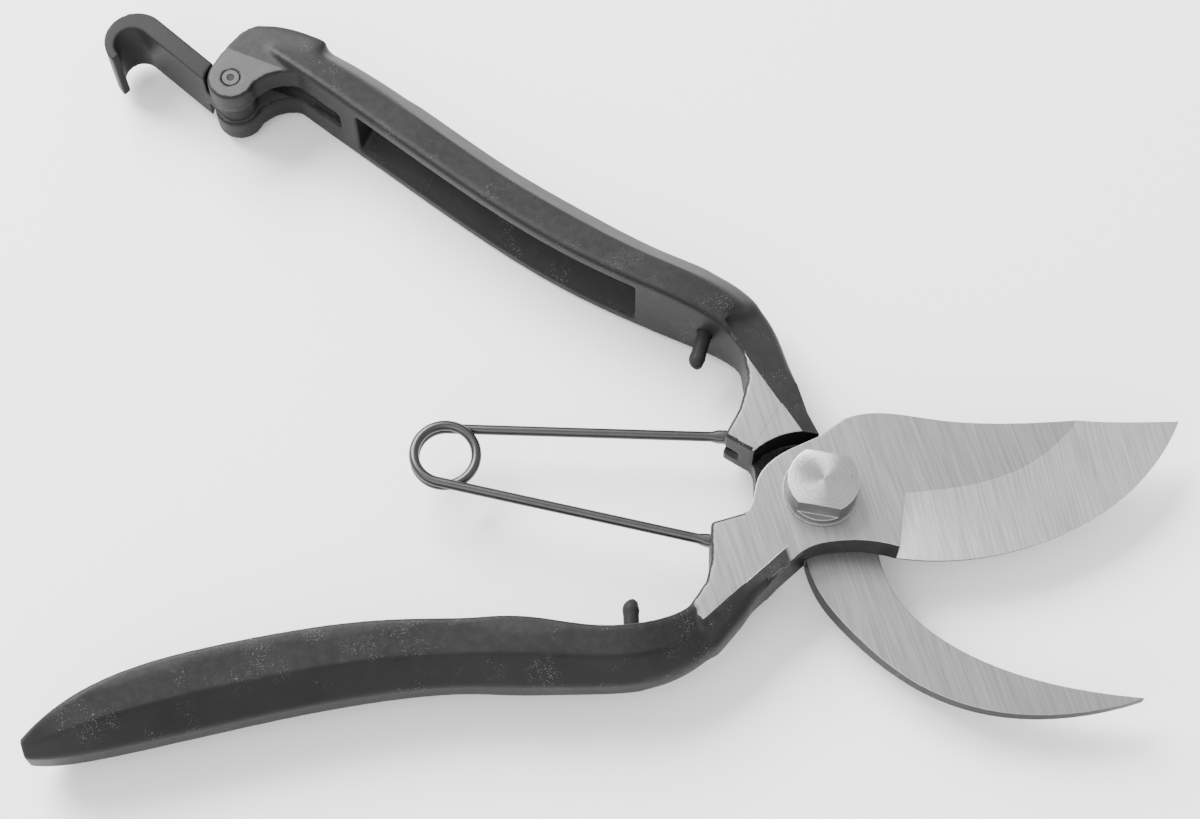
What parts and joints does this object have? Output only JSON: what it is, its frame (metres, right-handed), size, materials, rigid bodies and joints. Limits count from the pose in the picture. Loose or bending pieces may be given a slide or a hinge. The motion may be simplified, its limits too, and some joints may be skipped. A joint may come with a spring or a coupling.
{
  "type": "pruning shears",
  "caption": "Steel bypass pruning shears with a curved cutting blade, a hooked counter blade, hollow forged handles, a wire return spring and a handle latch.",
  "frame": {"origin": "on the pivot axis at the underside of the bolt and nut, where the shears lie", "axes": "+Z along the pivot axis towards the bolt head; +X along the centreline of the closed shears towards the tips; the blade arm lies on the -Y side"},
  "size_m": [0.1974, 0.1678, 0.0194],
  "materials": {
    "black_forging": "black heat-treated forging, semi-gloss, with ground bright flats and blade",
    "bright_bolt": "turned steel",
    "washer_steel": "satin",
    "spring_wire": "dark drawn wire",
    "latch_steel": "black, worn bright on its edges"
  },
  "bodies": {
    "blade_arm": {"blade_arm": "black_forging", "blade_peg": "latch_steel", "pivot_bolt": "bright_bolt", "bolt_washer": "washer_steel", "lock_washer": "washer_steel", "pivot_nut": "washer_steel"},
    "hook_arm": {"hook_arm": "black_forging", "hook_peg": "latch_steel", "latch_pin": "washer_steel"},
    "latch": {"latch": "latch_steel"},
    "spring_coil": {"coil_leg": "spring_wire"},
    "spring_plain": {"plain_leg": "spring_wire"}
  },
  "joints": [
    {"name": "main_pivot", "type": "hinge", "parent": "blade_arm", "child": "hook_arm", "pos_m": [0, 0, 0.0088], "axis": [0, 0, 1], "range_deg": [0, 48], "stiffness_Nm_per_rad": 0.64, "springref_deg": -26.93},
    {"name": "latch_hinge", "type": "hinge", "parent": "hook_arm", "child": "latch", "pos_m": [-0.07521, 0.10236, 0.0088], "axis": [0, 0, 1], "range_deg": [0, 57]},
    {"name": "spring_seat", "type": "hinge", "parent": "blade_arm", "child": "spring_coil", "pos_m": [-0.01696, -0.00339, 0.0088], "axis": [0, 0, 1], "range_deg": [0, 32]},
    {"name": "spring_bend", "type": "hinge", "parent": "spring_coil", "child": "spring_plain", "pos_m": [-0.05728, 0.0255, 0.0088], "axis": [0, 0, 1], "range_deg": [-15.6, 0]}
  ],
  "couplings": [
    {"joint": "spring_seat", "follows": "main_pivot", "ratio": 0.6606},
    {"joint": "spring_bend", "follows": "main_pivot", "ratio": -0.3212}
  ]
}
